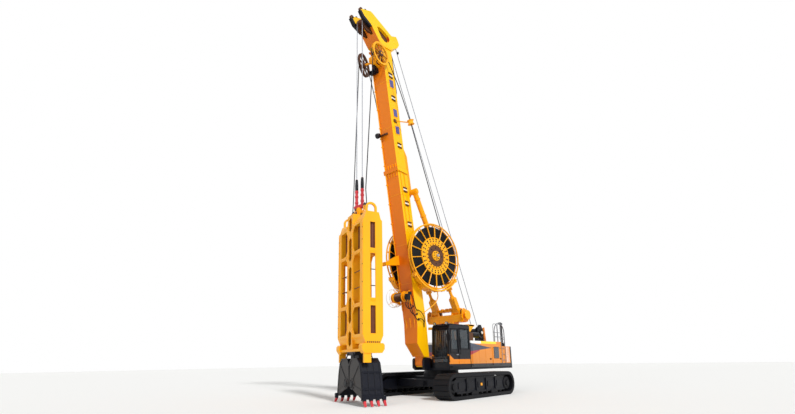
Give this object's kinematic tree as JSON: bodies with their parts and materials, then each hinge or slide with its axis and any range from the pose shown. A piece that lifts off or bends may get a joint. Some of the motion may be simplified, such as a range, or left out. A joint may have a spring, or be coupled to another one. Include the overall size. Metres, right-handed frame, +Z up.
{
  "type": "diaphragm wall grab",
  "caption": "Crawler machine with a leaning box mast, hose reels, luffing cylinders and a rope-hung hydraulic grab with two toothed jaws for digging slurry trenches.",
  "frame": {"origin": "on the ground, where the slewing axis meets it, midway between the tracks", "axes": "+X forward towards the grab, +Y to the machine's left where the cab is, +Z up"},
  "size_m": [10.6776, 4.75, 18.2],
  "materials": {
    "yellow_paint": "gloss orange-yellow enamel",
    "dark_paint": "satin near-black enamel",
    "track_steel": "dark painted cast steel",
    "window_glass": "tinted",
    "seat_fabric": "dark woven",
    "grey_rail": "grey enamel",
    "hose_rubber": "matt",
    "red_paint": "gloss red enamel",
    "jaw_steel": "dark blue-black paint",
    "wire_rope": "greased strands"
  },
  "bodies": {
    "undercarriage": {"carbody": "dark_paint", "slewing_ring": "dark_paint", "towing_eyes": "track_steel", "track_frame_left": "dark_paint", "track_frame_right": "dark_paint", "track_wheels_left": "track_steel", "track_wheels_right": "track_steel", "track_left": "track_steel", "track_right": "track_steel"},
    "upper": {"turntable": "dark_paint", "engine_house": "yellow_paint", "counterweight": "dark_paint", "engine": "track_steel", "exhaust_stack": "dark_paint", "cab_shell": "dark_paint", "cab_glass": "window_glass", "cab_seat": "seat_fabric", "gantry": "yellow_paint", "winch_frame": "dark_paint", "handrails": "grey_rail"},
    "cab_door": {"cab_door": "dark_paint", "door_glass": "window_glass"},
    "front_door_left": {"front_door_left": "yellow_paint"},
    "rear_door_left": {"rear_door_left": "yellow_paint"},
    "front_door_right": {"front_door_right": "yellow_paint"},
    "rear_door_right": {"rear_door_right": "yellow_paint"},
    "winch_drum": {"winch_drum": "dark_paint"},
    "mast": {"mast_lower": "yellow_paint", "mast_upper": "yellow_paint", "luff_bracket": "yellow_paint", "mast_head": "yellow_paint", "guide_arm": "yellow_paint", "reel_carrier": "yellow_paint", "reel_guards": "yellow_paint", "aux_winch_frame": "yellow_paint", "grab_stay": "yellow_paint"},
    "front_sheaves": {"front_sheaves": "jaw_steel"},
    "rear_sheaves": {"rear_sheaves": "jaw_steel"},
    "guide_wheel_left": {"guide_wheel_left": "yellow_paint"},
    "guide_wheel_right": {"guide_wheel_right": "yellow_paint"},
    "hose_reel_left": {"hose_reel_left": "yellow_paint", "reel_hose_left": "hose_rubber"},
    "hose_reel_right": {"hose_reel_right": "yellow_paint", "reel_hose_right": "hose_rubber"},
    "aux_drum": {"aux_drum": "yellow_paint"},
    "luff_barrel_left": {"luff_barrel_left": "yellow_paint"},
    "luff_barrel_right": {"luff_barrel_right": "yellow_paint"},
    "luff_rod_left": {"luff_rod_left": "yellow_paint"},
    "luff_rod_right": {"luff_rod_right": "yellow_paint"},
    "rope_carrier": {"hoist_ropes": "wire_rope"},
    "hoist_carriage": {"rope_swivels": "red_paint"},
    "grab": {"grab_frame": "yellow_paint", "grab_cylinder": "yellow_paint", "grab_head": "yellow_paint", "grab_guide": "yellow_paint", "grab_neck": "dark_paint"},
    "jaw_near": {"jaw_near": "jaw_steel", "jaw_near_teeth": "red_paint"},
    "jaw_far": {"jaw_far": "jaw_steel", "jaw_far_teeth": "red_paint"}
  },
  "joints": [
    {"name": "slew", "type": "hinge", "parent": "undercarriage", "child": "upper", "pos_m": [0, 0, 1.19], "axis": [0, 0, 1], "continuous": true},
    {"name": "cab_door_hinge", "type": "hinge", "parent": "upper", "child": "cab_door", "pos_m": [0.574, 1.488, 2.3], "axis": [0, 0, 1], "range_deg": [0, 100]},
    {"name": "front_door_left_hinge", "type": "hinge", "parent": "upper", "child": "front_door_left", "pos_m": [-0.494, 1.508, 1.8], "axis": [0, 0, -1], "range_deg": [0, 95]},
    {"name": "rear_door_left_hinge", "type": "hinge", "parent": "upper", "child": "rear_door_left", "pos_m": [-2.344, 1.508, 1.8], "axis": [0, 0, -1], "range_deg": [0, 95]},
    {"name": "front_door_right_hinge", "type": "hinge", "parent": "upper", "child": "front_door_right", "pos_m": [-0.494, -1.508, 1.8], "axis": [0, 0, 1], "range_deg": [0, 95]},
    {"name": "rear_door_right_hinge", "type": "hinge", "parent": "upper", "child": "rear_door_right", "pos_m": [-2.344, -1.508, 1.8], "axis": [0, 0, 1], "range_deg": [0, 95]},
    {"name": "winch_spin", "type": "hinge", "parent": "upper", "child": "winch_drum", "pos_m": [-2.95, 0, 3.04], "axis": [0, 1, 0], "continuous": true},
    {"name": "mast_luff", "type": "hinge", "parent": "upper", "child": "mast", "pos_m": [1.52, 0, 1.48], "axis": [0, 1, 0], "range_deg": [-1, 3]},
    {"name": "front_sheaves_spin", "type": "hinge", "parent": "mast", "child": "front_sheaves", "pos_m": [4.96, 0, 17.6], "axis": [0, 1, 0], "continuous": true},
    {"name": "rear_sheaves_spin", "type": "hinge", "parent": "mast", "child": "rear_sheaves", "pos_m": [3.32, 0, 17.54], "axis": [0, 1, 0], "continuous": true},
    {"name": "guide_wheel_left_spin", "type": "hinge", "parent": "mast", "child": "guide_wheel_left", "pos_m": [4.55, 0.58, 15.97], "axis": [-0.0698, 0.9976, 0], "continuous": true},
    {"name": "guide_wheel_right_spin", "type": "hinge", "parent": "mast", "child": "guide_wheel_right", "pos_m": [4.55, -0.58, 15.97], "axis": [-0.342, 0.9397, 0], "continuous": true},
    {"name": "hose_reel_left_spin", "type": "hinge", "parent": "mast", "child": "hose_reel_left", "pos_m": [1.35, 0.89, 6.46], "axis": [0.1219, 0.9925, 0], "continuous": true},
    {"name": "hose_reel_right_spin", "type": "hinge", "parent": "mast", "child": "hose_reel_right", "pos_m": [1.35, -0.89, 6.46], "axis": [-0.1219, 0.9925, 0], "continuous": true},
    {"name": "aux_drum_spin", "type": "hinge", "parent": "mast", "child": "aux_drum", "pos_m": [2.7, -0.14, 4.47], "axis": [0, 1, 0], "continuous": true},
    {"name": "luff_barrel_left_hinge", "type": "hinge", "parent": "mast", "child": "luff_barrel_left", "pos_m": [2.38, 0.64, 9.52], "axis": [0, 1, 0], "range_deg": [-1, 2]},
    {"name": "luff_rod_left_slide", "type": "slide", "parent": "luff_barrel_left", "child": "luff_rod_left", "axis": [-0.4811, 0, -0.8767], "range_m": [-0.1, 0.25]},
    {"name": "luff_barrel_right_hinge", "type": "hinge", "parent": "mast", "child": "luff_barrel_right", "pos_m": [2.38, -0.64, 9.52], "axis": [0, 1, 0], "range_deg": [-1, 2]},
    {"name": "luff_rod_right_slide", "type": "slide", "parent": "luff_barrel_right", "child": "luff_rod_right", "axis": [-0.4811, 0, -0.8767], "range_m": [-0.1, 0.25]},
    {"name": "rope_hang", "type": "hinge", "parent": "mast", "child": "rope_carrier", "pos_m": [5.3583, 0, 17.6], "axis": [0, 1, 0], "range_deg": [-4, 2]},
    {"name": "grab_hoist", "type": "slide", "parent": "rope_carrier", "child": "hoist_carriage", "axis": [0, 0, 1], "range_m": [0, 5], "deforming": ["hoist_ropes"]},
    {"name": "grab_turn", "type": "hinge", "parent": "hoist_carriage", "child": "grab", "pos_m": [5.3583, 0, 8.07], "axis": [0, 0, 1], "range_deg": [-90, 90]},
    {"name": "jaw_near_hinge", "type": "hinge", "parent": "grab", "child": "jaw_near", "pos_m": [5.4535, 0.2845, 0.78], "axis": [-0.9483, 0.3173, 0], "range_deg": [0, 70]},
    {"name": "jaw_far_hinge", "type": "hinge", "parent": "grab", "child": "jaw_far", "pos_m": [5.2631, -0.2845, 0.78], "axis": [0.9483, -0.3173, 0], "range_deg": [0, 70]}
  ],
  "couplings": [
    {"joint": "luff_barrel_left_hinge", "follows": "mast_luff", "ratio": 0.1809},
    {"joint": "luff_rod_left_slide", "follows": "mast_luff", "m_per_rad": 3.1138},
    {"joint": "luff_barrel_right_hinge", "follows": "mast_luff", "ratio": 0.1809},
    {"joint": "luff_rod_right_slide", "follows": "mast_luff", "m_per_rad": 3.1138},
    {"joint": "rope_hang", "follows": "mast_luff", "ratio": -1},
    {"joint": "jaw_far_hinge", "follows": "jaw_near_hinge", "ratio": 1}
  ]
}
